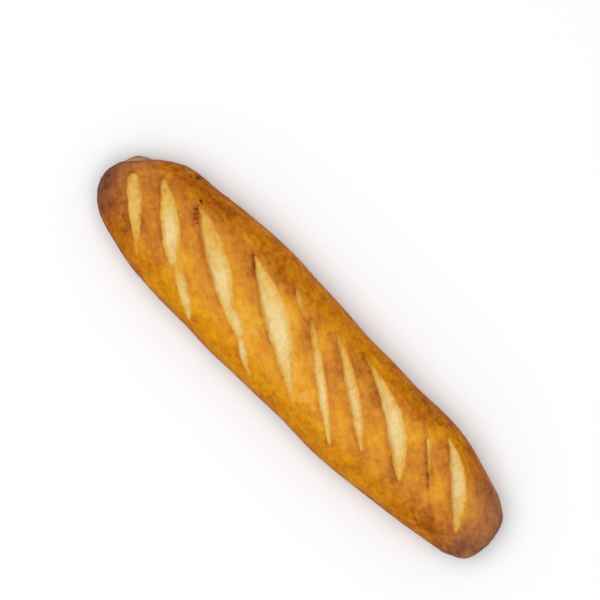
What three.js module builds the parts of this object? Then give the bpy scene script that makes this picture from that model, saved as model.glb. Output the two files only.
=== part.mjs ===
// A baguette, one solid loaf that lies on its flat baked base. Its top is opened by nine slanting
// slashes, each with a raised ear of crust along one side and a pale hollow beside it.
// Millimetres. +X runs along the loaf, +Z is up, and the origin is under its middle, on the base.
import * as THREE from "three";
import { LoftGeometry } from "three/addons/geometries/LoftGeometry.js";

const { clamp, degToRad, smoothstep } = THREE.MathUtils;

// ---- Driving dimensions of the whole loaf ----
const LENGTH = 360;
const CROWN_HEIGHT = 57; // top of the dough's dome over the table, before ears and hollows
const WIDEST_LEVEL = 20; // height over the table at which the loaf is widest
const CROWN_FOLLOWS_WIDTH = 0.6; // share of the dome's height that goes down where the loaf narrows
const PLAN_ROUNDING = { start: 58, end: 21 }; // length over which each end rounds off, seen from above
const CROWN_ROUNDING = { start: 70, end: 56 }; // the same for the dome, seen from the side
const BASE_ROUNDING = { start: 44, end: 34 }; // and for the base, which lifts off the table
const BASE_SINK = 1.6; // how far the round underside would reach below the table: its flat rest
const DOME_FULLNESS = 2.12; // superellipse powers of the section: 2 is round, more is squarer
const BASE_FULLNESS = 3.2;

// Half the loaf's width, and how far its middle line strays towards +Y, at stations along X.
const HALF_WIDTHS = [
  [-180, 36],
  [-157, 37.2],
  [-130, 38.5],
  [-100, 41.1],
  [-65, 42.9],
  [-20, 42.4],
  [15, 40.9],
  [65, 40],
  [95, 38.6],
  [120, 36.3],
  [145, 30.5],
  [160, 27.3],
  [170, 26.4],
  [180, 32.5],
];
const MIDDLE_LINE = [
  [-180, -6.4],
  [-165, -4.1],
  [-143, -0.8],
  [-117, -1.9],
  [-65, 0.2],
  [-20, -0.9],
  [65, -2.0],
  [110, 0.1],
  [146, -1.2],
  [180, -3.9],
];

// ---- Slashes ----
// Each opening is a lens in plan, between two tips. It has the width at its widest, the share of its
// length at which that is, how pointed it is (1 for a long even slit, 3 for a lens that is wide only
// in the middle), how far its middle bows towards +Y, how deep its hollow is, and how high its ear
// stands. A slash that healed over in places has several openings in line.
const opening = (from, to, width, widest, point, bow, depth, ear) => ({
  from,
  to,
  width,
  widest,
  point,
  bow,
  depth,
  ear,
});
const OPENINGS = [
  opening([-166.3, 5.6], [-124.4, -33.1], 8.5, 0.25, 1.5, 0.4, 2.2, 1),
  opening([-149.7, 17.5], [-103.2, -19.8], 11.6, 0.58, 1.3, 1.3, 2.8, 1.3),
  opening([-105.4, -17.2], [-70, -37.5], 5.8, 0.45, 1, 1.1, 1.2, 0.4),
  opening([-119.5, 20.8], [-47.5, -20.9], 13.5, 0.46, 1.8, 2.6, 3.2, 1.8),
  opening([-59.5, -12.4], [-34.2, -23.6], 6.6, 0.5, 1.1, 1.2, 1.2, 0.4),
  opening([-37.5, -21.4], [-13.6, -36.8], 4.4, 0.35, 1.2, -0.9, 0.9, 0.3),
  opening([-69.5, 23.3], [20.5, -31.4], 15.4, 0.42, 2.4, 4.3, 3.3, 2),
  opening([-33.5, 28], [-13.3, 17.3], 3.2, 0.5, 1.2, -0.5, 0.6, 0.4),
  opening([-12, 19.4], [57, -31.2], 6, 0.42, 1.1, 0.1, 2.2, 1.6),
  opening([6.1, 25.1], [75.2, -19.9], 7.5, 0.5, 1.6, 2.5, 2.6, 1.7),
  opening([27.5, 27.8], [106.8, -16.2], 12, 0.61, 2.2, 8.3, 3, 1.7),
  opening([88.5, 26.8], [146.5, -23.2], 5, 0.5, 1.8, 0.5, 1.6, 1),
  opening([109.6, 28], [158.2, -14.4], 9.8, 0.5, 1.6, 4.3, 2.6, 1.3),
];
const EAR_REACH = 9; // how far off the crust starts to swell up towards an ear
const EAR_LIP = 2.4; // width over which an ear falls into its hollow
const FAR_SIDE_DEPTH = 0.35; // share of the depth left where the hollow runs out opposite the ear
const RUN_OUT = 0.3; // share of the width over which it runs out

// ---- Unevenness of hand-shaped dough ----
// Slow waves through the dough: height, length, and the direction in which each one runs.
const LUMPS = [
  { height: 0.3, wavelength: 96, along: [0.9, 0.4, 0.2] },
  { height: 0.25, wavelength: 61, along: [0.6, -0.7, 0.4] },
  { height: 0.15, wavelength: 38, along: [0.75, 0.5, -0.45] },
  { height: 0.12, wavelength: 23, along: [0.5, -0.3, 0.8] },
];
// The tongue of dough that was squeezed out at the foot of the start end.
const TONGUE = { at: [-171.5, 15.5, 9], reach: 9, height: 4.2 };

// ---- Fineness of the solid ----
const SECTION_SPACING = 3.7;
const DOME_STEPS = 36; // faces over the top of a section
const BASE_STEPS = 9; // and under it
const DOME_OVERHANG = degToRad(8); // how far below the widest level the fine faces go
const SLASH_ANGLE = degToRad(34); // sections are cut parallel to the slashes, so that edges stay crisp
const TIP_STEP = 0.4; // how far the outermost sections stand from the tips, in steps of a rounding

// A smooth curve through [position, value] stations, as a function of position.
function smoothThrough(stations) {
  const last = stations.length - 1;
  const slopeAt = (i) => {
    const [x0, v0] = stations[Math.max(i - 1, 0)];
    const [x1, v1] = stations[Math.min(i + 1, last)];
    return (v1 - v0) / (x1 - x0);
  };
  return (x) => {
    let i = 0;
    while (i < last - 1 && x > stations[i + 1][0]) i += 1;
    const [x0, v0] = stations[i];
    const [x1, v1] = stations[i + 1];
    const span = x1 - x0;
    const t = clamp((x - x0) / span, 0, 1);
    const blend = t * t * (3 - 2 * t);
    const leave = t * (1 - t) * (1 - t) * span * slopeAt(i);
    const arrive = t * t * (t - 1) * span * slopeAt(i + 1);
    return v0 + (v1 - v0) * blend + leave + arrive;
  };
}
const halfWidthAt = smoothThrough(HALF_WIDTHS);
const WIDEST = Math.max(...HALF_WIDTHS.map(([, halfWidth]) => halfWidth));
const middleAt = smoothThrough(MIDDLE_LINE);

// 1 along the body of the loaf, falling to 0 at both tips in elliptical quarter rounds.
function rounding(x, reach) {
  const start = clamp(1 - (x + LENGTH / 2) / reach.start, 0, 1);
  const end = clamp(1 - (LENGTH / 2 - x) / reach.end, 0, 1);
  return Math.sqrt((1 - start * start) * (1 - end * end));
}

// The smooth dough before slashing, at a place along the loaf and an angle up from +Y.
function doughPoint(x, angle) {
  const side = Math.cos(angle);
  const up = Math.sin(angle);
  const power = 2 / (up > 0 ? DOME_FULLNESS : BASE_FULLNESS);
  const girth = 1 - CROWN_FOLLOWS_WIDTH * (1 - halfWidthAt(x) / WIDEST);
  const rise =
    up > 0
      ? (CROWN_HEIGHT - WIDEST_LEVEL) * girth * rounding(x, CROWN_ROUNDING)
      : (WIDEST_LEVEL + BASE_SINK) * rounding(x, BASE_ROUNDING);
  const across = halfWidthAt(x) * rounding(x, PLAN_ROUNDING);
  return new THREE.Vector3(
    x,
    middleAt(x) + across * Math.sign(side) * Math.abs(side) ** power,
    WIDEST_LEVEL + rise * Math.sign(up) * Math.abs(up) ** power,
  );
}

// Where a plan point lies in an opening: how far beyond its tips, how far across from its bowed
// middle line, positive away from the ear, the half width there, and that as a share of the most.
function placeInOpening(slash, x, y) {
  const [x0, y0] = slash.from;
  const [x1, y1] = slash.to;
  const length = Math.hypot(x1 - x0, y1 - y0);
  const [ux, uy] = [(x1 - x0) / length, (y1 - y0) / length];
  const share = ((x - x0) * ux + (y - y0) * uy) / length;
  const t = clamp(share, 0, 1);
  const middle = slash.bow * 4 * t * (1 - t);
  const fullness =
    (t / slash.widest) ** (slash.point * slash.widest) *
    ((1 - t) / (1 - slash.widest)) ** (slash.point * (1 - slash.widest));
  return {
    beyond: Math.abs(share - t) * length,
    across: -(x - x0) * uy + (y - y0) * ux - middle,
    halfWidth: (slash.width / 2) * fullness,
    fullness,
  };
}

// Height of the crust over the smooth dough due to one opening.
function openingRelief(slash, x, y) {
  const { beyond, across, halfWidth, fullness } = placeInOpening(slash, x, y);
  const swell = slash.ear * fullness ** 0.5;
  const outside = Math.hypot(Math.max(Math.abs(across) - halfWidth, 0), beyond);
  if (outside > 0) {
    return across < 0 ? swell * Math.exp(-((outside / EAR_REACH) ** 2)) : 0;
  }
  const fromEar = across + halfWidth;
  const share = fromEar / Math.max(2 * halfWidth, 1e-6);
  const lip = Math.exp(-fromEar / EAR_LIP);
  const floor = -slash.depth * fullness ** 0.6 * (1 - (1 - FAR_SIDE_DEPTH) * share);
  return swell * lip + floor * (1 - lip) * smoothstep(1 - share, 0, RUN_OUT);
}

// Slow unevenness of the dough at a point, the same wave running right through the loaf.
function lumpHeight(point) {
  let height = 0;
  for (const { height: size, wavelength, along } of LUMPS) {
    const phase = point.dot(new THREE.Vector3(...along).normalize()) / wavelength;
    height += size * Math.sin(2 * Math.PI * phase);
  }
  return height;
}

// The finished crust: slashed, lumpy, and flat where it rests on the table.
function crustPoint(x, angle) {
  const dough = doughPoint(x, angle);
  const core = new THREE.Vector3(
    clamp(x, -LENGTH / 2 + PLAN_ROUNDING.start, LENGTH / 2 - PLAN_ROUNDING.end),
    middleAt(x),
    WIDEST_LEVEL,
  );
  const outwards = dough.clone().sub(core).normalize();
  let height = lumpHeight(dough);
  if (Math.sin(angle) > 0) {
    for (const slash of OPENINGS) height += openingRelief(slash, x, dough.y);
  }
  const fromTongue = dough.distanceTo(new THREE.Vector3(...TONGUE.at)) / TONGUE.reach;
  height += TONGUE.height * Math.exp(-fromTongue * fromTongue);
  const crust = dough.addScaledVector(outwards, height);
  crust.z = Math.max(crust.z, 0);
  return crust;
}

// Distances of the sections from a tip over its rounded end, in even steps of a quarter turn.
function endDistances(reach) {
  const steps = Math.round((reach * Math.PI) / 2 / SECTION_SPACING);
  return Array.from({ length: steps }, (_, i) => {
    const turn = ((Math.PI / 2) * Math.max(i, TIP_STEP)) / steps;
    return reach * (1 - Math.cos(turn));
  });
}

// Places where the sections cross the middle line, from the start tip to the end tip.
function sectionPlaces() {
  const start = endDistances(PLAN_ROUNDING.start).map((distance) => distance - LENGTH / 2);
  const end = endDistances(PLAN_ROUNDING.end).map((distance) => LENGTH / 2 - distance);
  const body = LENGTH - PLAN_ROUNDING.start - PLAN_ROUNDING.end;
  const steps = Math.round(body / SECTION_SPACING);
  const between = Array.from(
    { length: steps + 1 },
    (_, i) => PLAN_ROUNDING.start - LENGTH / 2 + (body * i) / steps,
  );
  return [...start, ...between, ...end.reverse()];
}

// Angles of a section's points, counted up from +Y: fine over the dome, coarse under the base.
function sectionAngles() {
  const dome = Math.PI + 2 * DOME_OVERHANG;
  const base = 2 * Math.PI - dome;
  const angles = [];
  for (let i = 0; i < DOME_STEPS; i += 1) angles.push(-DOME_OVERHANG + (dome * i) / DOME_STEPS);
  for (let i = 0; i < BASE_STEPS; i += 1) angles.push(Math.PI + DOME_OVERHANG + (base * i) / BASE_STEPS);
  return angles;
}

// One section, slanted in plan like the slashes and straightening out towards the tips.
function section(place, angles) {
  const slant = (1 - (2 * place / LENGTH) ** 2) / Math.tan(SLASH_ANGLE);
  const reach = halfWidthAt(place) * rounding(place, PLAN_ROUNDING);
  return angles.map((angle) => crustPoint(place - slant * reach * Math.cos(angle), angle));
}

const crustFinish = new THREE.MeshStandardMaterial({
  color: 0xc98a35,
  roughness: 0.5,
  metalness: 0,
});

function makeLoaf() {
  const angles = sectionAngles();
  const sections = sectionPlaces().map((place) => section(place, angles));
  const geometry = new LoftGeometry(sections, { capStart: true, capEnd: true });
  geometry.computeBoundingBox();
  const { min, max } = geometry.boundingBox;
  geometry.translate(-(min.x + max.x) / 2, -(min.y + max.y) / 2, -min.z);
  const loaf = new THREE.Mesh(geometry, crustFinish);
  loaf.name = "loaf";
  return loaf;
}

const baguette = new THREE.Group();
baguette.add(makeLoaf());

export default baguette;
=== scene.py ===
# %% [markdown]
# # A baguette
# A baguette is one piece of dough, rolled long, slashed across the top and baked until the slashes
# burst open. In Blender it is one closed mesh: a round section carried along the loaf. The packed
# model already has that shape with coarse faces, so this script makes the same shape again with
# fine faces, adds what a baker would see from close by, and bakes it golden in the material.
# The frame comes first, because the loaf has to lie exactly where the packed model does.

# %% Load the frame
import math
from typing import NamedTuple

import bpy
import numpy as np
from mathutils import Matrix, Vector, noise


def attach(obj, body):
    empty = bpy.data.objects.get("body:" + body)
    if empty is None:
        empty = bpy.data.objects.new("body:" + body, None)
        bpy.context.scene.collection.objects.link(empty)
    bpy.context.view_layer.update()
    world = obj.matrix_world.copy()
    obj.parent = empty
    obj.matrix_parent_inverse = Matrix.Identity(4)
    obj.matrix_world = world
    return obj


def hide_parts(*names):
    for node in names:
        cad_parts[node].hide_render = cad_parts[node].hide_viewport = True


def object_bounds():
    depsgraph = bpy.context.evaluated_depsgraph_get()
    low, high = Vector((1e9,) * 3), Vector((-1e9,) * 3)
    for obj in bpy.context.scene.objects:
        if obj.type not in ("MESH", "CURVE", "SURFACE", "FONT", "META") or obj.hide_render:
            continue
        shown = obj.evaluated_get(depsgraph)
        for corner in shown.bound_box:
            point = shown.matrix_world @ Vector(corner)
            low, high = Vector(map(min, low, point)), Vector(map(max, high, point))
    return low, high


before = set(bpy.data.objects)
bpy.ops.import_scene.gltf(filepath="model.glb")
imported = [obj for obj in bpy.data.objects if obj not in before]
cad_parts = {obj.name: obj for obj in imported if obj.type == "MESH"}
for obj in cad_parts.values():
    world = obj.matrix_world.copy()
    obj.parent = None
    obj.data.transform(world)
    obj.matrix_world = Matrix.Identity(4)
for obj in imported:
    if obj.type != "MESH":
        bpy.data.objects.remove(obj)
cad_box = [list(corner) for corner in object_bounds()]
MM = 0.001
print("CAD box in mm:", [[round(c / MM, 1) for c in corner] for corner in cad_box])

# %% [markdown]
# ## The dough
# Seen from above the loaf is long with two rounded ends, and its sides wander because it was
# shaped by hand. A few stations along its length hold the half width and the middle line, and a
# smooth curve joins them. Its section is a superellipse, which is a circle that can be made
# squarer with one number: nearly round over the top, and flatter towards the base. The shape
# could be sculpted from a subdivided box instead, but a formula can be cut into sections
# anywhere, so the same loaf comes out coarse in one model and fine in the other.

# %% Driving dimensions, in millimetres
LENGTH = 360
CROWN_HEIGHT = 57
WIDEST_LEVEL = 20
CROWN_FOLLOWS_WIDTH = 0.6
PLAN_ROUNDING = (58, 21)
CROWN_ROUNDING = (70, 56)
BASE_ROUNDING = (44, 34)
BASE_SINK = 1.6
DOME_FULLNESS = 2.12
BASE_FULLNESS = 3.2

HALF_WIDTHS = [
    (-180, 36), (-157, 37.2), (-130, 38.5), (-100, 41.1), (-65, 42.9), (-20, 42.4), (15, 40.9),
    (65, 40), (95, 38.6), (120, 36.3), (145, 30.5), (160, 27.3), (170, 26.4), (180, 32.5),
]
MIDDLE_LINE = [
    (-180, -6.4), (-165, -4.1), (-143, -0.8), (-117, -1.9), (-65, 0.2), (-20, -0.9), (65, -2.0),
    (110, 0.1), (146, -1.2), (180, -3.9),
]
print("stations:", len(HALF_WIDTHS), "of half widths,", len(MIDDLE_LINE), "of the middle line")


# %% A smooth curve through stations
def smooth_through(stations):
    """A smooth curve through (position, value) stations, as a function of position."""
    at, value = np.array(stations, float).T
    slope = np.gradient(value)
    slope[1:-1] = (value[2:] - value[:-2]) / (at[2:] - at[:-2])
    slope[0], slope[-1] = (np.diff(value) / np.diff(at))[[0, -1]]

    def curve(x):
        i = np.clip(np.searchsorted(at, x) - 1, 0, len(at) - 2)
        span = at[i + 1] - at[i]
        t = np.clip((x - at[i]) / span, 0, 1)
        blend = t * t * (3 - 2 * t)
        leave = t * (1 - t) ** 2 * span * slope[i]
        arrive = t * t * (t - 1) * span * slope[i + 1]
        return value[i] + (value[i + 1] - value[i]) * blend + leave + arrive

    return curve


half_width_at = smooth_through(HALF_WIDTHS)
middle_at = smooth_through(MIDDLE_LINE)
WIDEST = max(half_width for _, half_width in HALF_WIDTHS)
print("widest:", 2 * WIDEST, "mm")


# %% The smooth dough before slashing
def rounding(x, reach):
    """1 along the body of the loaf, falling to 0 at both tips in elliptical quarter rounds."""
    start = np.clip(1 - (x + LENGTH / 2) / reach[0], 0, 1)
    end = np.clip(1 - (LENGTH / 2 - x) / reach[1], 0, 1)
    return np.sqrt((1 - start**2) * (1 - end**2))


def dough_surface(x, angle):
    """Points of the dough at places along the loaf and angles up from +Y."""
    side, up = np.cos(angle), np.sin(angle)
    power = 2 / np.where(up > 0, DOME_FULLNESS, BASE_FULLNESS)
    girth = 1 - CROWN_FOLLOWS_WIDTH * (1 - half_width_at(x) / WIDEST)
    dome = (CROWN_HEIGHT - WIDEST_LEVEL) * girth * rounding(x, CROWN_ROUNDING)
    base = (WIDEST_LEVEL + BASE_SINK) * rounding(x, BASE_ROUNDING)
    across = half_width_at(x) * rounding(x, PLAN_ROUNDING)
    y = middle_at(x) + across * np.sign(side) * np.abs(side) ** power
    z = WIDEST_LEVEL + np.where(up > 0, dome, base) * np.sign(up) * np.abs(up) ** power
    return np.stack([x, y, z], axis=-1)


print("top of the middle section in mm:", dough_surface(0, np.array(math.pi / 2)).round(1).tolist())


# %% [markdown]
# ## Where the mesh lines run
# A slash is long and narrow, and a mesh shows a narrow thing well only where its lines run along
# it. So the sections aren't cut square across the loaf but on a slant, parallel to the slashes.
# They straighten out towards the two tips. Each face is then short across a slash, where the
# shape changes quickly, and longer along it, where it doesn't. A square grid would need many more
# faces for edges as clean as these.

# %% Sections on a slant
SECTION_SPACING = 1.05
DOME_STEPS = 190
BASE_STEPS = 44
DOME_OVERHANG = math.radians(8)
SLASH_ANGLE = math.radians(34)
TIP_STEP = 0.4


def end_distances(reach):
    """Distances of the sections from a tip over its rounded end."""
    steps = round(reach * math.pi / 2 / SECTION_SPACING)
    turn = math.pi / 2 * np.maximum(np.arange(steps), TIP_STEP) / steps
    return reach * (1 - np.cos(turn))


def section_places():
    """Places where the sections cross the middle line, from tip to tip."""
    start = end_distances(PLAN_ROUNDING[0]) - LENGTH / 2
    end = LENGTH / 2 - end_distances(PLAN_ROUNDING[1])[::-1]
    body = LENGTH - sum(PLAN_ROUNDING)
    between = np.linspace(0, body, round(body / SECTION_SPACING) + 1)
    return np.concatenate([start, between + PLAN_ROUNDING[0] - LENGTH / 2, end])


def section_angles():
    """Angles of a section's points, fine over the dome and coarse under the base."""
    dome = math.pi + 2 * DOME_OVERHANG
    over = np.arange(DOME_STEPS) / DOME_STEPS * dome - DOME_OVERHANG
    under = np.arange(BASE_STEPS) / BASE_STEPS * (2 * math.pi - dome) + math.pi + DOME_OVERHANG
    return np.concatenate([over, under])


place, angle = np.meshgrid(section_places(), section_angles(), indexing="ij")
slant = (1 - (2 * place / LENGTH) ** 2) / math.tan(SLASH_ANGLE)
along = place - slant * half_width_at(place) * rounding(place, PLAN_ROUNDING) * np.cos(angle)
dough = dough_surface(along, angle)
print("mesh lines:", place.shape, "triangles:", 2 * place.size)

# %% [markdown]
# ## The slashes
# A blade held flat lifts a flap of dough. In the oven the loaf swells, the cut opens into a long
# lens, and the flap's edge curls up into an ear that browns first. The dough that wells up in the
# opening was inside until then, so it stays pale. One opening is two tips, a width and where it
# is widest, how pointed it is, a bow, a depth and an ear. Four more numbers hold how pale its
# dough stayed, where along it that is, how dark its ear burnt, with the painted shadow under it,
# and the painted light and shade beside its far rim. Some slashes healed over for a stretch, and
# are several openings in line. Where the dough hardly tore, the pale number is 0.
# Boolean cuts would leave sharp, thin faces along every edge. Here a slash only raises and lowers
# the dough's own points, so the mesh stays whole.

# %% What an opening is
class Opening(NamedTuple):
    """A burst slash: a lens between two tips on the plan, in millimetres, with its baking."""

    start: tuple
    end: tuple
    width: float
    widest: float  # share of the length at which it is widest
    point: float  # 1 for a long even slit, 3 for a lens that is wide only in the middle
    bow: float  # how far its middle line curves away from the ear
    depth: float
    ear: float  # height of the raised edge
    pale: float  # 1 for dough as pale as crumb
    palest: float  # share of the length at which it is palest
    burn: float  # how dark the ear is baked, and the painted shadow under it
    rim_shading: float  # painted shade on the crust beside the far edge; below 0 it is painted light, more golden


print("numbers of an opening:", list(Opening._fields))

# %% The openings
OPENINGS = [
    Opening((-166.3, 5.6), (-124.4, -33.1), 8.5, 0.25, 1.5, 0.4, 2.2, 1, 0.54, 0.4, 0.3, 0.05),
    Opening((-149.7, 17.5), (-103.2, -19.8), 11.6, 0.58, 1.3, 1.3, 2.8, 1.3, 1.02, 0.62, 0.3, 0.02),
    Opening((-105.4, -17.2), (-70, -37.5), 5.8, 0.45, 1, 1.1, 1.2, 0.4, 0.82, 0.6, 0.1, 0.02),
    Opening((-119.5, 20.8), (-47.5, -20.9), 13.5, 0.46, 1.8, 2.6, 3.2, 1.8, 0.96, 0.66, 0.5, -0.03),
    Opening((-59.5, -12.4), (-34.2, -23.6), 6.6, 0.5, 1.1, 1.2, 1.2, 0.4, 0.92, 0.5, 0.2, -0.03),
    Opening((-37.5, -21.4), (-13.6, -36.8), 4.4, 0.35, 1.2, -0.9, 0.9, 0.3, 0.78, 0.3, 0.1, -0.03),
    Opening((-69.5, 23.3), (20.5, -31.4), 15.4, 0.42, 2.4, 4.3, 3.3, 2, 1.12, 0.48, 0.4, -0.14),
    Opening((-33.5, 28), (-13.3, 17.3), 3.2, 0.5, 1.2, -0.5, 0.6, 0.4, 0.1, 0.5, 0, 0),
    Opening((-12, 19.4), (57, -31.2), 6, 0.42, 1.1, 0.1, 2.2, 1.6, 0.92, 0.6, 0.3, 0.08),
    Opening((6.1, 25.1), (75.2, -19.9), 7.5, 0.5, 1.6, 2.5, 2.6, 1.7, 0.84, 0.6, 0.3, 0.05),
    Opening((27.5, 27.8), (106.8, -16.2), 12, 0.61, 2.2, 8.3, 3, 1.7, 1.06, 0.6, 0.35, -0.06),
    Opening((88.5, 26.8), (146.5, -23.2), 5, 0.5, 1.8, 0.5, 1.6, 1, 0, 0.5, 0.05, -0.1),
    Opening((99.5, 18.2), (117, 0.9), 2.6, 0.3, 1.2, 0.8, 0.5, 0, 0.64, 0.1, 0.6, 0),
    Opening((109.6, 28), (158.2, -14.4), 9.8, 0.5, 1.6, 4.3, 2.6, 1.3, 0.92, 0.46, 0.3, -0.02),
]
print("openings:", len(OPENINGS))


# %% Finding a point's place in an opening
EDGE_WAVES = ((0.25, 21), (0.15, 9))  # height and length of the waves of a torn edge
WOBBLE_WIDTH = 9  # a narrower opening has straighter edges
draw = np.random.default_rng(seed=5)


def smoothstep(x, low, high):
    t = np.clip((x - low) / (high - low), 0, 1)
    return t * t * (3 - 2 * t)


def torn_line(distance):
    """A wavy line along a distance: a few waves that each start somewhere else."""
    wave = 0
    for height, length in EDGE_WAVES:
        starts_at = draw.uniform(0, 2 * math.pi)
        wave = wave + height * np.sin(2 * math.pi * distance / length + starts_at)
    return wave


def place_in(opening, x, y):
    """Where plan points lie in an opening: share along it, distance beyond its tips, distances
    inwards from its ear edge and its far edge, how full it is there, and the way across it."""
    (x0, y0), (x1, y1) = opening.start, opening.end
    length = math.dist(opening.start, opening.end)
    ux, uy = (x1 - x0) / length, (y1 - y0) / length
    share = ((x - x0) * ux + (y - y0) * uy) / length
    t = np.clip(share, 0, 1)
    fullness = (t / opening.widest) ** (opening.point * opening.widest)
    fullness *= ((1 - t) / (1 - opening.widest)) ** (opening.point * (1 - opening.widest))
    across = (y - y0) * ux - (x - x0) * uy - opening.bow * 4 * t * (1 - t)
    half_width = opening.width / 2 * fullness
    wobble = np.sqrt(fullness) * min(1, opening.width / WOBBLE_WIDTH)
    return {
        "share": t,
        "beyond": np.abs(share - t) * length,
        "from_ear": across + half_width + wobble * torn_line(t * length),
        "from_far": half_width - across + wobble * torn_line(t * length),
        "fullness": fullness,
        "over": (-uy, ux),
    }


longest = max(OPENINGS, key=lambda opening: math.dist(opening.start, opening.end))
print("longest opening:", round(math.dist(longest.start, longest.end), 1), "mm")

# %% Relief of one opening
EAR_REACH = 9  # how far off the crust starts to swell up towards an ear
EAR_LIP = 2.4  # width over which an ear falls into its hollow
FAR_SIDE_DEPTH = 0.35  # share of the depth left where the hollow runs out opposite the ear
RUN_OUT = 0.3  # share of the width over which it runs out


def opening_relief(opening, spot):
    """Height of the crust over the smooth dough, at points that lie in or near an opening."""
    swell = opening.ear * np.sqrt(spot["fullness"])
    depth = opening.depth * spot["fullness"] ** 0.6
    gap = np.maximum(spot["from_ear"] + spot["from_far"], 1e-6)
    share = np.clip(spot["from_ear"] / gap, 0, 1)
    lip = np.exp(-np.maximum(spot["from_ear"], 0) / EAR_LIP)
    floor = -depth * (1 - (1 - FAR_SIDE_DEPTH) * share)
    inside = swell * lip + floor * (1 - lip) * smoothstep(1 - share, 0, RUN_OUT)
    off = np.hypot(np.maximum(-spot["from_ear"], 0), spot["beyond"])
    near = np.where(spot["from_ear"] < 0, swell * np.exp(-((off / EAR_REACH) ** 2)), 0)
    within = (spot["from_ear"] >= 0) & (spot["from_far"] >= 0) & (spot["beyond"] == 0)
    return np.where(within, inside, near)


print("ears up to", max(opening.ear for opening in OPENINGS), "mm over the crust")

# %% [markdown]
# ## What the oven does beside an opening
# Beside its far edge each opening has a rim that is painted lighter, as painted light, or darker,
# as painted shade.
# The ear stands proud and thin, so it browns in a band along its edge, and its very edge burns in
# a line that is darkest where the blade went in. Band and line reach a little over the edge into
# the opening, and there they are painted shadow under the ear's lip. The pale dough turns into
# crust within a millimetre or two, a little more slowly on the far side, where no flap was lifted.
# It is palest in the middle of the opening, because that dough came up last, and golden near rims
# and tips.
# All of this depends only on where a point lies between the two edges and along the opening, so
# a few short functions can work it out for every opening.

# %% Edges of an opening
EAR_EDGE = 0.65  # half the width over which crust turns pale at the ear
FAR_EDGE = 0.9  # and at most on the far side, where an opening is wide
NARROWEST_EDGE = 0.5  # the far side of a narrow one has this, and a share of its width more
EDGE_SHARE = 0.06
PALE_SPILL = 0.45  # how far pale dough shows past the edges of its hollow


def fade(distance, reach):
    """1 at an edge and on its inner side, fading outside it over a reach."""
    return np.exp(np.minimum(distance, 0) / reach)


def openness(opening, spot):
    """Above 1 in the pale dough, below -1 on the crust, 0 on the edge between them."""
    far_edge = min(FAR_EDGE, NARROWEST_EDGE + EDGE_SHARE * opening.width)
    to_edge = np.minimum(spot["from_ear"] / EAR_EDGE, spot["from_far"] / far_edge)
    return to_edge + PALE_SPILL * np.sqrt(spot["fullness"]) - spot["beyond"]


print("pale dough fades over", 2 * EAR_EDGE, "mm at the ear and", 2 * FAR_EDGE, "mm opposite")

# %% Paleness of the torn dough
PALE_FADE = 1.5  # how much less pale an opening is a whole length away from its palest place
RIM_PALENESS = 0.34  # share of its paleness that it has at the rims
CORE_START = -0.08  # share of the width from a rim where the paler core begins
EAR_CORE = 0.25  # share of the width from the ear where it is at its palest
FAR_CORE = 0.4  # and from the far edge


def share_across(spot):
    """0 at the ear and 1 at the far edge."""
    gap = np.maximum(spot["from_ear"] + spot["from_far"], 1e-6)
    return np.clip(spot["from_ear"] / gap, 0, 1)


def paleness_of(opening, spot):
    """How pale the dough in an opening stayed, 1 for as pale as crumb."""
    across = share_across(spot)
    core = smoothstep(across, CORE_START, EAR_CORE) * smoothstep(1 - across, CORE_START, FAR_CORE)
    along_it = 1 - PALE_FADE * np.abs(spot["share"] - opening.palest)
    return opening.pale * along_it * (RIM_PALENESS + (1 - RIM_PALENESS) * core)


print("at the rims an opening has", RIM_PALENESS, "of its paleness")

# %% Browning of an ear, and the painted shadow under it
BAND_REACH = 4.2  # how far the brown band beside an ear reaches
LINE_REACH = 0.7  # and the burnt line on its edge
OVER_THE_EDGE = 0.8  # how far both reach over the edge into the opening, where they are painted shadow under the lip
PAST_THE_TIPS = 1.5  # how far the band runs on past the tips
BAND_OF_EVERY_EAR = 0.55  # brown of the band where nothing burnt
BAND_OF_A_BURN = 0.75
LINE_OF_A_BURN = 0.8
LINE_AT_THE_START = 0.6  # how much more the line burnt where the blade went in


def ear_browning(opening, spot):
    """The brown band beside an ear and the line where its edge burns; inside the opening both are
    painted shadow.
    """
    start = (1 - spot["share"]) ** 1.5
    inwards = np.exp(-np.maximum(spot["from_ear"], 0) / OVER_THE_EDGE)
    strength = np.maximum(spot["fullness"] ** 0.3, start)
    band = (BAND_OF_EVERY_EAR + BAND_OF_A_BURN * opening.burn) * strength
    band = band * fade(spot["from_ear"], BAND_REACH) * inwards
    line = opening.burn * (LINE_OF_A_BURN + LINE_AT_THE_START * start)
    line = line * fade(spot["from_ear"], LINE_REACH) * inwards
    return band * np.exp(-spot["beyond"] / PAST_THE_TIPS), line * np.exp(-spot["beyond"])


print("brown bands beside the ears:", BAND_REACH, "mm, burnt lines:", LINE_REACH, "mm")

# %% Slash the dough
EAR_LEAN = 0.2  # how far an ear leans over its opening, as a share of its height
LEAN_REACH = 1.6  # how far from its edge the crust leans with it
LEAN_PAST_TIPS = 3
RIM_REACH = 4  # how far beside an opening the painted light and shade of its far rim reach
FAR_AWAY = -50.0

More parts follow.
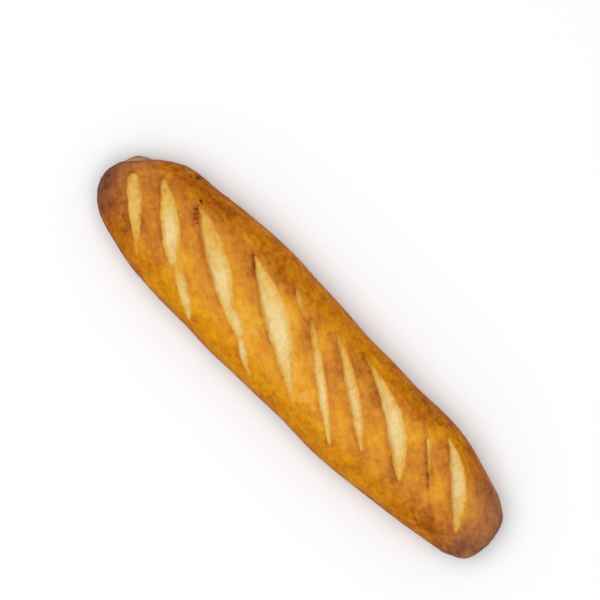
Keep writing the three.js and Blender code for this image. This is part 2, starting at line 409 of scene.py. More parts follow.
relief = np.zeros(place.shape)
lean = np.zeros(place.shape + (2,))
inside = np.full(place.shape, FAR_AWAY)
paleness, ear_band, ear_line, painted_rim_shading = (np.zeros(place.shape) for _ in range(4))
on_top = np.sin(angle) > 0
for opening in OPENINGS:
    spot = place_in(opening, along, dough[..., 1])
    relief += np.where(on_top, opening_relief(opening, spot), 0)

    edge = np.exp(-((spot["from_ear"] / LEAN_REACH) ** 2) - (spot["beyond"] / LEAN_PAST_TIPS) ** 2)
    edge *= np.sqrt(spot["fullness"]) * on_top
    lean += (EAR_LEAN * opening.ear * edge)[..., None] * np.array(spot["over"])

    band, line = ear_browning(opening, spot)
    ear_band = np.maximum(ear_band, band * on_top)
    ear_line = np.maximum(ear_line, line * on_top)
    # the far rim is painted lighter where this is below 0 and darker where above: painted light and
    # shade
    beside_far = np.sqrt(spot["fullness"]) * (spot["from_far"] < 0)
    beside_far = beside_far * fade(spot["from_far"], RIM_REACH)
    beside_far = beside_far * np.exp(-spot["beyond"] / RIM_REACH)
    painted_rim_shading += opening.rim_shading * beside_far * on_top
    if opening.pale > 0:
        open_here = openness(opening, spot)
        closer = on_top & (open_here > inside)
        inside = np.where(closer, open_here, inside)
        paleness = np.where(closer, paleness_of(opening, spot), paleness)
print("deepest hollow:", round(-float(relief.min()), 2), "mm")
print("tallest ear:", round(float(relief.max()), 2), "mm")

# %% [markdown]
# ## Uneven crust
# Dough is never smooth. Slow waves run through the whole loaf, the skin wrinkles where it dried
# before baking, the torn dough is lumpy and stringy, and small blisters rise under the crust. The
# waves are sines, because they are also in the packed model. Wrinkles and strands come from Perlin
# noise, and blisters are small domes drawn at random places with a fixed seed, so that each run
# gives the same loaf.

# %% Slow lumps
LUMPS = [  # height, wavelength and direction of each wave
    (0.3, 96, (0.9, 0.4, 0.2)),
    (0.25, 61, (0.6, -0.7, 0.4)),
    (0.15, 38, (0.75, 0.5, -0.45)),
    (0.12, 23, (0.5, -0.3, 0.8)),
]

for height, wavelength, run in LUMPS:
    direction = np.array(run) / np.linalg.norm(run)
    relief += height * np.sin(2 * math.pi * (dough @ direction) / wavelength)
print("lumps:", sum(height for height, _, _ in LUMPS), "mm at most")

# %% The tongue of dough at the start end
TONGUE = dict(at=(-171.5, 15.5, 9), reach=9, height=4.2)
TONGUE_CREASE = ((-176, 6.5), (-163, 22))  # line on the plan where it comes out from the loaf
CREASE_DEPTH = 0.9
CREASE_WIDTH = 0.9
CREASE_TIPS = (-3, 2)  # it starts this far before its ends and is full this far inside them
TONGUE_EDGE = (-0.2, 1.2)  # the tongue's own colour begins and is full this far past the crease
TONGUE_FADE = (13, 25)  # and goes down from the upper height to the lower one

from_tongue = np.linalg.norm(dough - TONGUE["at"], axis=-1) / TONGUE["reach"]
relief += TONGUE["height"] * np.exp(-(from_tongue**2))
(x0, y0), (x1, y1) = TONGUE_CREASE
crease_length = math.dist(*TONGUE_CREASE)
ux, uy = (x1 - x0) / crease_length, (y1 - y0) / crease_length
past_crease = (dough[..., 1] - y0) * ux - (along - x0) * uy
on_crease = (along - x0) * ux + (dough[..., 1] - y0) * uy
beside_crease = smoothstep(on_crease, *CREASE_TIPS)
beside_crease *= smoothstep(crease_length - on_crease, *CREASE_TIPS)
crease = beside_crease * np.exp(-((past_crease / CREASE_WIDTH) ** 2))
tongue = beside_crease * smoothstep(past_crease, *TONGUE_EDGE)
tongue *= smoothstep(dough[..., 2], *TONGUE_FADE)
relief -= CREASE_DEPTH * crease
print("tongue:", TONGUE["height"], "mm proud, with a crease of", round(crease_length, 1), "mm")

# %% Noise on the loaf
def noise_field(points, size):
    """Perlin noise at points, with features of about the given size in millimetres."""
    flat = [noise.noise(Vector(p)) for p in (points / size).reshape(-1, 3)]
    return np.array(flat).reshape(points.shape[:-1])


def slash_wise(points, stretch):
    """Points turned so that X runs along the slashes, and shortened that way by a stretch."""
    c, s = math.cos(SLASH_ANGLE), math.sin(SLASH_ANGLE)
    x = (points[..., 0] * c - points[..., 1] * s) / stretch
    return np.stack([x, points[..., 0] * s + points[..., 1] * c, points[..., 2]], axis=-1)


strands = noise_field(slash_wise(dough, stretch=5), size=1.7)
clods = noise_field(slash_wise(dough, stretch=1.8), size=4.5)
wrinkles = noise_field(dough, size=4.2) + 0.6 * noise_field(dough, size=1.9)
print("wrinkles from", round(float(wrinkles.min()), 2), "to", round(float(wrinkles.max()), 2))

# %% Wrinkles and torn dough
WRINKLE_HEIGHT = 0.16
STRAND_HEIGHT = 0.22
CLOD_HEIGHT = 0.5

opened = smoothstep(inside, -1, 1)
relief += WRINKLE_HEIGHT * wrinkles * (1 - opened)
relief += (STRAND_HEIGHT * strands + CLOD_HEIGHT * clods) * opened
print("torn dough covers", round(100 * float(opened.mean())), "% of the mesh points")

# %% Blisters
BLISTERS = 260
BLISTER_SIZES = (0.7, 2.3)
BLISTER_RISE = 0.14  # height of a blister as a share of its radius

blistered = np.zeros(place.shape)
on_crust = np.flatnonzero(((opened < 0.1) & on_top).ravel())
for centre in dough.reshape(-1, 3)[draw.choice(on_crust, BLISTERS, replace=False)]:
    radius = draw.uniform(*BLISTER_SIZES)
    near = np.abs(along - centre[0]) < 2 * radius
    distance = np.linalg.norm(dough[near] - centre, axis=-1) / radius
    dome = np.clip(1 - distance**2, 0, 1) ** 1.5
    blistered[near] = np.maximum(blistered[near], dome * radius * BLISTER_RISE)
relief += blistered
print("blisters:", BLISTERS, "up to", round(float(blistered.max()), 2), "mm high")

# %% [markdown]
# ## One closed mesh
# Each point of the dough moves out along a line from the loaf's core by its relief, and then
# sideways by the lean of the ears. The base is cut flat where the loaf sat in the oven. Each tip
# is closed by a fan round one point. A displace modifier could move the points too, but numpy
# keeps the numbers at hand that the baking needs later. Last of all the mesh is fitted to the box
# of the packed model, so that both have exactly the same size.

# %% Displace and close
core = np.stack(
    [
        np.clip(along, PLAN_ROUNDING[0] - LENGTH / 2, LENGTH / 2 - PLAN_ROUNDING[1]),
        middle_at(along),
        np.full(place.shape, WIDEST_LEVEL),
    ],
    axis=-1,
)
outwards = dough - core
outwards /= np.linalg.norm(outwards, axis=-1, keepdims=True)
points = dough + outwards * relief[..., None]
points[..., :2] += lean
points[..., 2] = np.maximum(points[..., 2], 0)

rows, columns = place.shape
tips = np.array([points[0].mean(axis=0), points[-1].mean(axis=0)])
vertices = np.concatenate([points.reshape(-1, 3), tips])


def fit_to_box(vertices, box):
    """Vertices in metres, stretched by a hair so that they fill the box."""
    low, high = vertices.min(axis=0), vertices.max(axis=0)
    box_low, box_high = np.array(box)
    scale = (box_high - box_low) / (high - low)
    print("fit to the frame, scale per axis:", (scale / MM).round(4).tolist())
    return box_low + (vertices - low) * scale


vertices = fit_to_box(vertices, cad_box)

# %% Faces
row, column = np.meshgrid(np.arange(rows - 1), np.arange(columns), indexing="ij")
here = row * columns + column
beside_it = row * columns + (column + 1) % columns
quads = np.stack([here, beside_it, beside_it + columns, here + columns], axis=-1).reshape(-1, 4)
ring = np.arange(columns)
next_on_ring = (ring + 1) % columns
start_tip = np.full(columns, rows * columns)
start_fan = np.stack([start_tip, next_on_ring, ring], axis=-1)
end_ring = (rows - 1) * columns
end_fan = np.stack([start_tip + 1, end_ring + ring, end_ring + next_on_ring], axis=-1)

loaf_mesh = bpy.data.meshes.new("loaf_crust")
loaf_mesh.from_pydata(vertices.tolist(), [], quads.tolist() + start_fan.tolist() + end_fan.tolist())
loaf_mesh.shade_smooth()
loaf = bpy.data.objects.new("loaf_crust", loaf_mesh)
bpy.context.collection.objects.link(loaf)
print("faces:", len(loaf_mesh.polygons))

# %% [markdown]
# ## How brown each place is
# Baking turns one dough into many colours: cream, gold, amber, brown and black are all the same
# crust after more and more heat. So one number for each point, the bake, goes into the mesh as an
# attribute, and the material looks up the colour for it. Mixing in each colour by hand would lose
# that order, and a golden place could then lie beside a black one. The ends and the thin edges
# take more heat than the middle, and the openings, which burst late, take the least. The bake also
# holds painted light and shade: the middle of the top is lighter partly as painted sheen, and the
# sides are painted darker low down, as painted shade.

# %% Bake of the whole loaf
SIDE_BAKE = 0.61
CROWN_GLOW = 0.2  # how much lighter the middle of the top is painted than the sides, partly as less bake and partly as painted sheen
GLOW_PLACE = (-8, -9)
GLOW_REACH = 95
GLOW_EDGE = (0.2, 0.9)  # shares of the half width over which the glow ends towards the sides
END_BAKE = 0.13
START_BROWNS = (146, 176)  # distances from the middle over which the start end browns
END_BROWNS = (142, 174)
LOW_SIDE_SHADE = 0.14  # painted shade: how much darker the sides are painted from their widest level down
LOW_REACH = 16  # it comes on over this height above that level

x, y, z = dough[..., 0], dough[..., 1], dough[..., 2]
off_middle = np.abs(y - middle_at(x) - GLOW_PLACE[1]) / half_width_at(x)
glow = np.exp(-(((x - GLOW_PLACE[0]) / GLOW_REACH) ** 2)) * (1 - smoothstep(off_middle, *GLOW_EDGE))
end_browning = smoothstep(-x, *START_BROWNS) + smoothstep(x, *END_BROWNS)
# the middle of the top is painted lighter, partly as less bake and partly as painted sheen
bake = SIDE_BAKE - CROWN_GLOW * glow * on_top + END_BAKE * end_browning
# the lower sides are painted darker here: painted shade
bake += LOW_SIDE_SHADE * smoothstep(WIDEST_LEVEL + LOW_REACH - z, 0, LOW_REACH)
print("bake of the smooth loaf:", round(float(bake.min()), 2), "to", round(float(bake.max()), 2))

# %% [markdown]
# ## Patches and marks
# An oven has hot places, and flour, steam and a neighbouring loaf leave others pale. So a real
# crust has soft patches that no rule explains, and small scorched marks where the skin is thin.
# Some of the marks are painted shadow instead, along the ear sides inside the openings and beside
# a narrow slit. Painting them on an image would tie the loaf to a texture. Here each one is a short
# row of numbers: a place on the plan, a reach and a change. A patch is a soft round spot. A mark is
# smaller, drawn out along the slashes, and ragged. Both fade with height too, so that what lies
# on the top doesn't run down a steep side.

# %% Places that took more or less heat
PATCHES = [  # x, y, reach and change of the bake
    (-180, -9, 10, 0.22), (-175, -8, 7, 0.13), (-166, -21, 9, 0.12), (-166, -3, 9, -0.08),
    (-104, -9, 7, -0.1), (-62, 8, 8, 0.08), (-50, 26, 10, 0.08), (-90, 35, 14, 0.04),
    (38, 14, 6, 0.03), (45, 30, 8, -0.06), (58, 7, 6, 0.06), (76, -5, 9, -0.13),
    (97, -16, 9, 0.06), (99, 13, 9, -0.14), (107, 27, 7, -0.12), (128, 6, 7, -0.05),
    (118, 3, 6, 0.04), (22, -13, 6, -0.07), (147, 10, 4, -0.14), (88, -6, 4, -0.12),
    (-60, -15, 4, -0.12), (41, -22, 6, -0.08), (20, 33, 8, -0.05), (-122, 21, 6, -0.09),
    (90, -22, 6, -0.03), (72, 33, 12, 0.1), (148, 23, 8, 0.22), (128, 29, 8, 0.14),
    (156, 4, 9, -0.15), (127, -8, 8, -0.13), (118, -29, 14, 0.06), (169, -17, 8, 0.2),
    (152, -25, 10, 0.12), (174, -19, 5, -0.12), (-4, -38, 8, 0.05), (-21, -38, 6, -0.08),
    (-78, -32, 6, -0.07), (41, 36, 7, 0.08), (-6, 38, 7, 0.07), (-9, 3, 10, 0.22),
    (22, 0, 10, 0.18), (36, -8, 6, 0.04), (137, -22, 11, 0.08),
    (138, 29, 5, 0.08), (-154, -25, 9, 0.1), (-141, -34, 7, 0.07), (-126, 33, 11, 0.19),
    (-63, 37, 9, 0.13), (70, -13, 6, 0.06), (-60, 14, 8, 0.05), (-108, 33, 11, 0.15),
    (-108, 23, 6, 0.07), (-142, 32, 10, 0.1), (106, 37, 10, 0.17), (94, 30, 7, 0.11),
    (109, 17, 5, 0.11), (2, 24, 7, -0.13), (53, -17, 7, -0.13), (-150, -32, 8, 0.1),
    (-70, -27, 7, -0.12), (-141, -17, 7, 0.17), (-153, 26, 7, 0.08), (47, -38, 7, -0.1),
    (-53, 2, 6, 0.1), (-85, -35, 8, -0.1), (-103, -21, 8, -0.16), (64, 27, 6, 0.08),
    (-13, -25, 7, 0.08), (-42, -28, 7, -0.08), (79, -35, 8, 0.07), (29, 10, 7, 0.06),
    (-76, 30, 7, -0.05), (-28, 30, 6, 0.07), (-25, 18, 7, -0.1), (-48, 20, 5, 0.06),
    (-100, -15, 6, -0.06), (-164, -24, 6, 0.08), (-133, -10, 6, -0.08), (127, -25, 6, 0.08),
    (5, 11, 5, -0.13), (-165, 6, 8, -0.03),
]
print("patches:", len(PATCHES))

# %% Bake the patches and the ears, with painted light and shade at the rims and the crease
BAND_BAKE = 0.17
# the crease beside the tongue is painted darker: painted shade
CREASE_SHADE = 0.12
PATCH_DEPTH = 1.5  # a patch reaches this much further down a steep side than over the plan
DARKEST_BAKE = 0.88  # from here on more heat browns the crust only a little more
BAKE_OVER = 0.4


def height_over(px, py):
    """Height of the top of the dough over a plan point."""
    nearest = np.argmin((x - px) ** 2 + (y - py) ** 2 + np.where(on_top, 0, LENGTH**2))
    return z.flat[nearest]


# the far rims are painted lighter and darker here: painted light and shade
bake += BAND_BAKE * ear_band + painted_rim_shading + CREASE_SHADE * crease
for px, py, reach, change in PATCHES:
    down = (z - height_over(px, py)) / PATCH_DEPTH
    bake += change * np.exp(-((x - px) ** 2 + (y - py) ** 2 + down**2) / reach**2)
bake = np.minimum(bake, DARKEST_BAKE + BAKE_OVER * (bake - DARKEST_BAKE))
print("bake with its patches:", round(float(bake.min()), 2), "to", round(float(bake.max()), 2))

# %% Small burnt places and painted shadows
# most marks are burnt places; those along the ear sides inside the openings and the grey line
# beside the narrow slit near x = 112 to 122 are painted shadow
MARKS = [  # x, y, reach along the slashes and across them, and darkness
    (-120.4, 24.3, 2.4, 1.1, 0.42), (-119.4, 17.4, 0.9, 1.7, 0.34), (-117.1, 15, 0.9, 2.0, 0.34),
    (-115.1, 12.2, 0.9, 2.0, 0.3), (-112.7, 10, 1.0, 1.6, 0.22), (-133.3, 34.2, 1.4, 2.2, 0.36),
    (-137.4, 31.4, 1.0, 1.2, 0.22), (-157.5, -12.8, 2.2, 1.4, 0.14),
    (-149.5, -19.8, 3.2, 1.2, 0.12), (-138.2, -1.5, 1.6, 1.0, 0.12),
    (-112.3, -24.6, 4.5, 3.0, 0.08), (-83.2, 20.1, 1.4, 1.4, 0.09),
    (-72, 24, 2.4, 0.9, 0.16), (-65.5, 18.2, 3.0, 1.5, 0.1), (-60.5, 14.2, 3.0, 1.6, 0.1),
    (-39.7, -2.4, 1.3, 0.9, 0.14), (-26.7, -7.2, 1.6, 0.7, 0.24), (-54.5, 1, 2.2, 1.0, 0.1),
    (-45.5, -23.6, 1.9, 1.4, 0.2), (-33.8, -35.2, 1.8, 1.4, 0.14), (-49.5, 31, 4.5, 3.0, 0.07),
    (-24.5, 30.1, 3.5, 3.0, 0.07), (-3.5, 12, 4.0, 1.4, 0.12), (19, 11.6, 3.5, 1.8, 0.1),
    (25.5, 7.6, 1.6, 1.2, 0.1), (29.5, 28, 2.0, 0.9, 0.14), (31.2, -18.2, 1.6, 1.2, 0.1),
    (58.8, 15.6, 2.8, 1.5, 0.28), (91.3, -8, 2.2, 0.9, 0.16), (97.5, -12.2, 4.0, 1.8, 0.1),
    (108.8, -14.9, 1.4, 0.8, 0.14), (112.5, 4.6, 3.5, 0.9, 0.1), (118.5, -0.8, 3.5, 0.9, 0.17),
    (122.1, -4.4, 1.5, 1.1, 0.24), (141.3, -18.2, 2.2, 1.4, 0.14), (127, -23, 2.2, 2.0, 0.14),
    (133, -25.8, 1.6, 1.6, 0.12), (152.5, 24.8, 0.9, 0.9, 0.14), (45.5, 28.8, 1.5, 1.5, 0.06),
    (-0.1, -39, 2.0, 1.5, 0.08), (132.2, -24.5, 0.9, 0.9, -0.3), (-26, -1.5, 6, 2, 0.22),
    (-52, 16.5, 4, 2.5, 0.16), (-119, -4, 3, 2, 0.2), (97, -7, 6, 2.5, 0.18), (60, 18, 4, 2, 0.14),
    (122, 22, 4, 2, -0.12), (117.4, 0.2, 1.2, 0.9, 0.2),
]
MARK_DEPTH = 2.5  # a mark reaches this much further down than across
RAGGEDNESS = 0.5  # how much the wrinkles fray its edge

marks = np.zeros(place.shape)
c, s = math.cos(SLASH_ANGLE), math.sin(SLASH_ANGLE)
for px, py, reach_along, reach_across, darkness in MARKS:
    run = ((x - px) * c - (y - py) * s) / reach_along
    over = ((x - px) * s + (y - py) * c) / reach_across
    down = (z - height_over(px, py)) / (MARK_DEPTH * reach_across)
    marks += darkness * np.exp(-(run**2 + over**2 + down**2) * (1 + RAGGEDNESS * wrinkles))
print("marks:", len(MARKS), "- darkest", round(float(marks.max()), 2))


# %% [markdown]
# ## What the material needs from the mesh
# The material has to know what only the shape knows: where the dough is open, how far down a
# side a point is, and how near an end. A mesh can carry such numbers as attributes, one for each
# vertex, and a shader reads them by name. They follow the surface from every side, which a
# pattern laid over the loaf from one direction wouldn't.

# %% Store numbers in the mesh
FULLY_OPEN = 4.0  # beyond this an opening's inside is all the same


def store(name, values):
    """Keeps one number for each vertex in the mesh, the tips taking that of their ring."""
    column_of_values = np.append(values.ravel(), [values[0].mean(), values[-1].mean()])
    attribute = loaf_mesh.attributes.new(name, "FLOAT", "POINT")
    attribute.data.foreach_set("value", column_of_values.astype(np.float32))
    print(name, round(float(values.min()), 2), "to", round(float(values.max()), 2))


store("bake", bake)
store("opening", np.clip(inside, -FULLY_OPEN, FULLY_OPEN))
store("pale", paleness)
store("ear", ear_line)
store("mark", marks)
store("tongue", tongue)

# %% Store where the sides, the base and the ends are
SIDE_EDGE = (0.45, 0.8)  # shares of the half width over which the top turns into a side
LOW_EDGE = (-2, 14)  # depths under the widest level over which a side loses half its glaze
FLOUR_HEIGHT = 3.0  # the base is floury up to this height
FLOUR_FADE = 2.5
START_HAZE = (150, 182)  # distances from the middle over which the start end turns dull
END_HAZE = (142, 176)
START_SHARE = 0.75  # the start end is this much as dull as the other
END_SLANT = 0.5  # the dull end reaches further along the far side

side = smoothstep(np.abs(y - middle_at(x)) / half_width_at(x), *SIDE_EDGE)
start_haze = START_SHARE * smoothstep(-x, *START_HAZE)
end_haze = smoothstep(x + END_SLANT * np.maximum(y, 0), *END_HAZE)
store("side", side * (1 - 0.5 * smoothstep(WIDEST_LEVEL - z, *LOW_EDGE)))
store("under", smoothstep(FLOUR_HEIGHT - points[..., 2], 0, FLOUR_FADE))
store("end", start_haze + end_haze)


# %% [markdown]
# ## Shader maths as Python
# A material is a graph of nodes, and its maths is hard to read as a list of links. The class below
# wraps one socket and overloads Python's operators, so that an expression such as 1 - mask adds
# the Math nodes by itself. Colours and vectors have methods of their own, because a Math node
# would turn them grey.

# %% A socket that Python can calculate with
class Wire:
    """One output socket of a material's node tree."""

    def __init__(self, tree, socket):
        self.tree = tree
        self.socket = socket

    def node(self, kind, settings=None, output=0, **inputs):
        """Adds a node: its settings are set first, then the values or links of its sockets."""
        return add_node(self.tree, kind, settings, output, **inputs)

    def math(self, operation, *others):
        names = ["Value", "Value_001", "Value_002"]
        inputs = dict(zip(names, (self, *others)))
        return self.node("ShaderNodeMath", {"operation": operation}, **inputs)

    def __add__(self, other):
        return self.math("ADD", other)

    __radd__ = __add__

    def __mul__(self, other):
        return self.math("MULTIPLY", other)

    __rmul__ = __mul__

    def __sub__(self, other):
        return self.math("SUBTRACT", other)

    def __rsub__(self, other):
        return (self * -1.0) + other

    def clamp(self, low=0.0, high=1.0):
        return self.node("ShaderNodeClamp", Value=self, Min=low, Max=high)

    def step(self, low, high):
        """0 below low and 1 above high, with a smooth rise between them."""
        settings = {"interpolation_type": "SMOOTHSTEP"}
        limits = {"From Min": low, "From Max": high}
        return self.node("ShaderNodeMapRange", settings, Value=self, **limits)

    def ramp(self, stops):
        """The colour at this place of a row of (place, colour) stops."""
        return self.node("ShaderNodeValToRGB", {"stops": stops}, Fac=self)

    def mix(self, other, factor, blend="MIX"):
        """This colour, mixed with another by a factor."""
        settings = {"data_type": "RGBA", "blend_type": blend}
        inputs = {"Factor_Float": factor, "A_Color": self, "B_Color": other}
        return self.node("ShaderNodeMix", settings, 2, **inputs)

    def scaled(self, factors):
        """This vector, multiplied by another."""
        settings = {"operation": "MULTIPLY"}
        return self.node("ShaderNodeVectorMath", settings, Vector=self, Vector_001=factors)

    def turned(self, degrees):
        """This vector, turned about the vertical."""
        settings = {"rotation_type": "Z_AXIS"}
        angle = math.radians(degrees)
        return self.node("ShaderNodeVectorRotate", settings, Vector=self, Angle=angle)

    def noise(self, size, detail=3.0, roughness=0.55, distortion=0.0):
        """Noise about 0, from -1 to 1, with features of about the given size in millimetres."""
        inputs = {"Detail": detail, "Roughness": roughness, "Distortion": distortion}
        grain = self.node("ShaderNodeTexNoise", Vector=self, Scale=1 / (size * MM), **inputs)
        return (grain - 0.5) * 2.0

    def cells(self, size):
        """One random number from about -1 to 1 for each rounded cell of about the given size."""
        settings = {"feature": "SMOOTH_F1"}
        cell = self.node("ShaderNodeTexVoronoi", settings, 1, Vector=self, Scale=1 / (size * MM))
        return (cell - 0.5) * 2.0


print("shader maths:", [name for name in vars(Wire) if not name.startswith("_")])


# %% Adding nodes
def add_node(tree, kind, settings=None, output=0, **inputs):
    """Adds a node to a tree and returns one of its outputs."""
    node = tree.nodes.new(kind)
    for name, value in (settings or {}).items():
        if name == "stops":
            fill_ramp(node.color_ramp, value)
        else:
            setattr(node, name, value)
    sockets = {socket.identifier: socket for socket in node.inputs}
    for name, value in inputs.items():
        socket = sockets.get(name) or node.inputs[name]
        if isinstance(value, Wire):
            tree.links.new(value.socket, socket)
        else:
            socket.default_value = value
    return Wire(tree, node.outputs[output])


def fill_ramp(ramp, stops):
    """Gives a colour ramp its stops."""
    while len(ramp.elements) > 1:
        ramp.elements.remove(ramp.elements[-1])
    for i, (place_on_ramp, colour) in enumerate(stops):
        stop = ramp.elements[0] if i == 0 else ramp.elements.new(place_on_ramp)
        stop.position = place_on_ramp
        stop.color = colour


# %% Screen colours
def paint(red, green, blue):
    """A screen colour, 0 to 255, as the linear colour that shaders use."""
    channels = [c / 255 for c in (red, green, blue)]
    return [c / 12.92 if c <= 0.04045 else ((c + 0.055) / 1.055) ** 2.4 for c in channels] + [1.0]


print("gold is", [round(c, 3) for c in paint(214, 142, 26)])

# %% [markdown]
# ## The crust
# The browning is one colour ramp from straw to black, and every cause of browning just adds to
# the number that is looked up in it: the bake from the mesh, a mottle of several sizes, streaks
# along the slashes, small dark marks and the burnt ears. Some of that is painted light and shade:
# the lighter crown is partly painted sheen, the low sides, the crease and the far rims carry
# painted shade and light, and some marks and the ear lines inside the openings are painted shadow.
# The torn dough in the openings has a paler ramp of its own. The sides are glazed a deeper amber,
# least so low down, and both ends are a little duller. The base is dusted with flour, and the
# tongue is tan, because it came out of the loaf late. The crust has a soft sheen, and the torn
# dough is duller. It is all computed from noise and from the numbers in the mesh, so it has no
# seams and needs no image.

# %% Colours of baking
BROWNING = [
    (0.00, paint(247, 216, 158)),
    (0.20, paint(233, 192, 116)),
    (0.30, paint(231, 181, 80)),
    (0.40, paint(228, 167, 49)),
    (0.50, paint(216, 149, 45)),
    (0.60, paint(200, 130, 45)),
    (0.70, paint(181, 109, 39)),
    (0.80, paint(157, 87, 30)),
    (0.90, paint(122, 61, 16)),
    (1.00, paint(60, 34, 20)),
]
TORN_DOUGH = [
    (0.00, paint(238, 210, 155)),
    (0.15, paint(234, 202, 143)),
    (0.30, paint(229, 193, 128)),
    (0.50, paint(225, 180, 103)),
    (0.70, paint(223, 168, 70)),
    (0.85, paint(218, 153, 50)),
    (1.00, paint(203, 133, 45)),
]
AMBER_GLAZE = paint(255, 249, 80)
OVEN_HAZE = paint(138, 116, 100)
RUSSET = paint(255, 238, 240)
STRAW = paint(228, 204, 112)
FLOUR = paint(232, 205, 165)
TONGUE_TAN = paint(198, 161, 117)
print("colours of the crust:", len(BROWNING), "and of the torn dough:", len(TORN_DOUGH))


# %% Start and finish of a material
def start_material(name):
    """A new material with an empty node tree."""
    material = bpy.data.materials.new(name)
    material.use_nodes = True
    material.node_tree.nodes.clear()
    return material, material.node_tree


def finish_material(tree, bump, **sockets):
    """Closes a node tree with a Principled shader and a bump of its surface."""
    normal = add_node(tree, "ShaderNodeBump", Height=bump, Strength=1.0, Distance=MM)
    shader = add_node(tree, "ShaderNodeBsdfPrincipled", Normal=normal, **sockets)
    output = tree.nodes.new("ShaderNodeOutputMaterial")
    tree.links.new(shader.socket, output.inputs["Surface"])


# %% Patterns that run with the slashes
SLASH_DEGREES = math.degrees(SLASH_ANGLE)
DRAWN_OUT = (0.2, 1.0, 1.0)  # shortens the space along the slashes, which draws a pattern out
DRAWN_OVER = (1.0, 0.3, 0.3)  # and this draws it out across them


def with_slashes(spot):
    """Places turned to the slashes, for streaks that run along them."""
    return spot.turned(SLASH_DEGREES).scaled(DRAWN_OUT)


def over_slashes(spot):
    """The same for streaks that run across them."""
    return spot.turned(SLASH_DEGREES).scaled(DRAWN_OVER)


print("streaks run at", round(SLASH_DEGREES), "degrees to the loaf")


# %% How brown the crust is
MOTTLE = 0.18  # each as a change of the bake
SIDE_MOTTLE = 0.05  # what a side has on top of that
STREAKS = 0.13
SPECKLE = 0.15
FRECKLES = 0.1
EAR_BURN = 0.34


def browning_of(spot, stored):
    """All that browned the crust at each place, as one number, with the painted light and shade
    that the bake, the ears and the marks carry.
    """
    hatch = (over_slashes(spot).noise(1.3, detail=3) * 0.9 + 0.85).clamp(0.0, 1.6)
    mottle = spot.noise(15, detail=4, roughness=0.5, distortion=0.15)
    mottle = mottle * (stored("side") * SIDE_MOTTLE + MOTTLE)
    streaks = with_slashes(spot).noise(3.4, detail=3) * STREAKS
    speckle = spot.noise(2.6, detail=3, roughness=0.6) * SPECKLE + spot.cells(3.2) * FRECKLES
    speckle = speckle * (stored("side") * 0.2 + 0.65)
    # burnt ears and marks, and painted shadow where the ear lines and some marks reach into the
    # openings
    burnt_and_shaded = (stored("ear") * EAR_BURN + stored("mark")) * hatch
    return stored("bake") + mottle + streaks + speckle + burnt_and_shaded


print("mottle of the bake:", MOTTLE, "and on a side:", round(MOTTLE + SIDE_MOTTLE, 2))

# %% Colour of the browned crust
GLAZE = 0.9  # how amber the sides are
HAZE_OVER_GLAZE = 0.6  # how much of that the dull ends take away
HAZE = 0.32


def crust_colour(spot, stored):
    """The colour of the browning, glazed on the sides and hazy at the ends."""
    crust = browning_of(spot, stored).clamp().ramp(BROWNING)
    amber = (stored("side") * GLAZE - stored("end") * HAZE_OVER_GLAZE).clamp()
    crust = crust.mix(AMBER_GLAZE, amber, "MULTIPLY")
    crust = crust.mix(OVEN_HAZE, stored("end") * HAZE)
    return crust.mix(RUSSET, spot.noise(7, detail=4, roughness=0.6).step(-0.5, 0.5), "MULTIPLY")


print("glaze on the sides:", GLAZE, "and haze at the ends:", HAZE)

# %% Colour of the torn dough
PALEST = 1.06  # what the stored paleness is taken from
BLOTCHES = 0.3
STRINGS = 0.38
CRUMBS = 0.22
# painted shadow under the ears, on the torn dough
EAR_SHADOW = 0.55
STRAW_SHARE = 0.4


def dough_colour(spot, stored, strands):
    """Dough that is stringy along the slash, in small lumps, browned here and there, and darker
    under the ears and at some marks, as painted shadow.
    """
    blotches = spot.noise(6, detail=4) * BLOTCHES + strands * STRINGS + spot.cells(2.6) * CRUMBS
    # the ear line darkens the dough under the ear's lip: painted shadow
    toasted_and_shaded = PALEST - stored("pale") + blotches + stored("ear") * EAR_SHADOW + stored("mark")
    dough = toasted_and_shaded.clamp().ramp(TORN_DOUGH)
    return dough.mix(STRAW, with_slashes(spot).noise(3, detail=3).step(-0.3, 0.4) * STRAW_SHARE)


print("straw over the torn dough:", STRAW_SHARE)

# %% The baked crust
FLOUR_COVER = 0.5
TAN_COVER = 0.75
CRUST_ROUGHNESS = 0.44
DOUGH_DULLS = 0.24  # how much rougher the torn dough is, and the floury base
FLOUR_DULLS = 0.25


def crust_finish():
    """Baked crust: browned outside, pale in the openings, dull and floury under the base."""
    material, tree = start_material("baked_crust")

    def stored(name):
        return add_node(tree, "ShaderNodeAttribute", {"attribute_name": name}, "Fac")

    spot = add_node(tree, "ShaderNodeTexCoord", output="Object")
    strands = with_slashes(spot).noise(1.5, detail=4)
    frayed = spot.noise(3.5, detail=4) * 0.6
    opened = (stored("opening") + frayed).step(-1.0, 1.0)
    flour = stored("under") * spot.noise(6, detail=5).step(-0.15, 0.7) * FLOUR_COVER
    tan = (stored("tongue") * (spot.noise(5, detail=4) + 1.0)).step(0.0, 1.1) * TAN_COVER
    colour = crust_colour(spot, stored).mix(dough_colour(spot, stored, strands), opened)
    colour = colour.mix(FLOUR, flour).mix(TONGUE_TAN, tan)

    pores = spot.noise(0.55, detail=3) * 0.05 + spot.noise(1.3, detail=3) * 0.09
    bump = pores + strands * opened * 0.16
    dull = opened * DOUGH_DULLS + stored("under") * FLOUR_DULLS
    roughness = (spot.noise(5) * 0.06 + CRUST_ROUGHNESS + dull).clamp(0.2, 0.95)
    gloss = {"Roughness": roughness, "Specular IOR Level": 0.015, "IOR": 1.45}
    finish_material(tree, bump, **{"Base Color": colour}, **gloss)
    return material


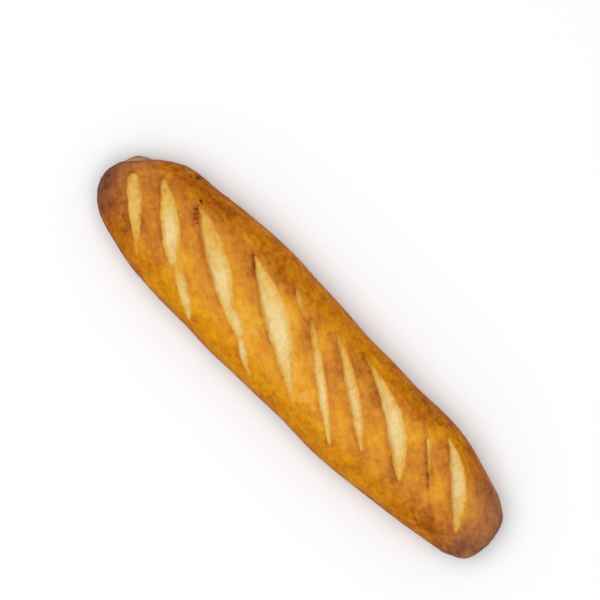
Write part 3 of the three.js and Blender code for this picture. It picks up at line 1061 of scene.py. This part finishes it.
loaf_mesh.materials.append(crust_finish())
print("nodes in the crust:", len(loaf_mesh.materials[0].node_tree.nodes))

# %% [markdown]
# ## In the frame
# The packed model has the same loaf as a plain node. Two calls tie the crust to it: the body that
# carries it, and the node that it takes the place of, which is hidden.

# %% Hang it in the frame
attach(loaf, "root")
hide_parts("loaf")
print("pieces:", loaf.name)

# %% [markdown]
# ## Floor, light and camera
# The loaf lies on a plain pale floor. One wide soft light hangs over it, a little to one side, and
# a pale sky fills the shadows, as in a small product studio. The camera looks straight down, and
# is turned so that the loaf runs from the upper left to the lower right.

# %% The floor
FLOOR_SIZE = 6.0  # metres


def make_floor():
    mesh = bpy.data.meshes.new("floor")
    half = FLOOR_SIZE / 2
    corners = [(-half, -half, 0), (half, -half, 0), (half, half, 0), (-half, half, 0)]
    mesh.from_pydata(corners, [], [(0, 1, 2, 3)])
    floor = bpy.data.objects.new("floor", mesh)
    bpy.context.collection.objects.link(floor)
    material, tree = start_material("floor_paint")
    spot = add_node(tree, "ShaderNodeTexCoord", output="Object")
    sockets = {"Base Color": paint(251, 253, 255), "Roughness": 0.9, "Specular IOR Level": 0.1}
    finish_material(tree, spot.noise(3.0) * 0.02, **sockets)
    mesh.materials.append(material)
    return floor


make_floor()
print("floor:", FLOOR_SIZE, "m across")

# %% The light
LIGHT_PLACE = (-0.06, -0.14, 1.7)  # metres
LIGHT_SIZE = 1.6
LIGHT_POWER = 17.5  # watts
SKY_STRENGTH = 0.58


def make_light():
    lamp = bpy.data.lights.new("softbox", "AREA")
    lamp.shape = "SQUARE"
    lamp.size = LIGHT_SIZE
    lamp.energy = LIGHT_POWER
    softbox = bpy.data.objects.new("softbox", lamp)
    softbox.location = LIGHT_PLACE
    softbox.rotation_euler = Vector(LIGHT_PLACE).to_track_quat("Z", "Y").to_euler()
    bpy.context.collection.objects.link(softbox)


def make_sky():
    world = bpy.data.worlds.new("studio")
    world.use_nodes = True
    background = world.node_tree.nodes["Background"]
    background.inputs["Color"].default_value = (1.0, 1.0, 1.0, 1.0)
    background.inputs["Strength"].default_value = SKY_STRENGTH
    bpy.context.scene.world = world


make_light()
make_sky()
bpy.context.scene.view_settings.view_transform = "Standard"
print("softbox:", LIGHT_SIZE, "m wide, at", LIGHT_PLACE)

# %% The camera
SENSOR = 36.0
CAMERA_DISTANCE = 6000  # from so far off, a long lens shows the loaf almost without perspective
FRAME_WIDTH = 404.0  # width of the view at the loaf's widest level, in millimetres
AIM = (-26.1, 24.05)
TURN = math.radians(44.75)


def make_camera():
    lens = bpy.data.cameras.new("camera")
    lens.sensor_width = SENSOR
    lens.lens = SENSOR * CAMERA_DISTANCE / FRAME_WIDTH
    camera = bpy.data.objects.new("camera", lens)
    camera.location = (AIM[0] * MM, AIM[1] * MM, (WIDEST_LEVEL + CAMERA_DISTANCE) * MM)
    camera.rotation_euler = (0, 0, TURN)
    bpy.context.collection.objects.link(camera)
    bpy.context.scene.camera = camera


make_camera()
print("lens:", round(bpy.context.scene.camera.data.lens, 1), "mm")

# %% [markdown]
# ## Sizes
# The box of the packed model is printed in millimetres where it is loaded, and the crust is fitted
# to it.
